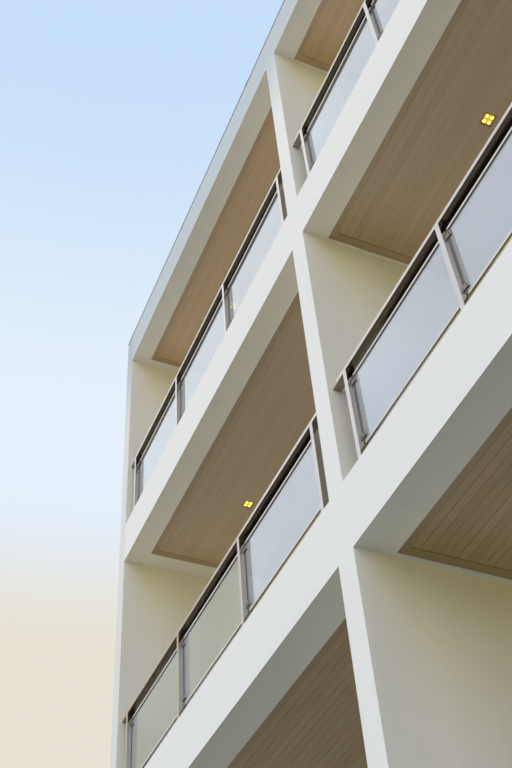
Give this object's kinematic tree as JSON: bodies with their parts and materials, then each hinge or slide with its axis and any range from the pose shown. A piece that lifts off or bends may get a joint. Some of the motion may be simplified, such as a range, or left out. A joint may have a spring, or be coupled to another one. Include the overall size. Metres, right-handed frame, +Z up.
{
  "type": "apartment block",
  "caption": "Flat-roofed apartment block with recessed balconies behind a flush grid of bands and cross walls, boarded balcony ceilings and glass balustrades.",
  "frame": {"origin": "middle of the footprint at ground level", "axes": "+X along the balcony front to the right as seen from in front, +Y from the balcony front towards the rear, +Z up"},
  "size_m": [17.822, 9.612, 13.143],
  "materials": {
    "concrete": "matte",
    "wall_render": "matte",
    "band_render": "matte",
    "inner_render": "matte",
    "plaster": "matte",
    "timber": "satin",
    "lamp": "gloss",
    "rail_metal": "satin",
    "rail_glass": "gloss",
    "frame_metal": "satin",
    "pane_glass": "gloss",
    "door_metal": "satin",
    "coping_metal": "satin"
  },
  "bodies": {
    "root": {"ground_slab": "concrete", "first_floor": "concrete", "second_floor": "concrete", "third_floor": "concrete", "roof_slab": "concrete", "left_end_wall": "wall_render", "right_end_wall": "wall_render", "ground_cross_walls": "wall_render", "first_cross_walls": "wall_render", "second_cross_walls": "wall_render", "third_cross_walls": "wall_render", "first_band": "band_render", "second_band": "band_render", "third_band": "band_render", "roof_band": "band_render", "ground_inner_wall": "inner_render", "first_inner_wall": "inner_render", "second_inner_wall": "inner_render", "third_inner_wall": "inner_render", "ground_rear_wall": "wall_render", "first_rear_wall": "wall_render", "second_rear_wall": "wall_render", "third_rear_wall": "wall_render", "balcony_ceilings": "plaster", "ground_boards": "timber", "first_boards": "timber", "second_boards": "timber", "third_boards": "timber", "downlights": "lamp", "first_handrails": "rail_metal", "second_handrails": "rail_metal", "third_handrails": "rail_metal", "first_posts": "rail_metal", "second_posts": "rail_metal", "third_posts": "rail_metal", "first_rail_glass": "rail_glass", "second_rail_glass": "rail_glass", "third_rail_glass": "rail_glass", "door_frames": "frame_metal", "door_glass": "pane_glass", "window_frames": "frame_metal", "window_glass": "pane_glass", "entrance_door": "door_metal", "roof_coping": "coping_metal"}
  },
  "joints": []
}
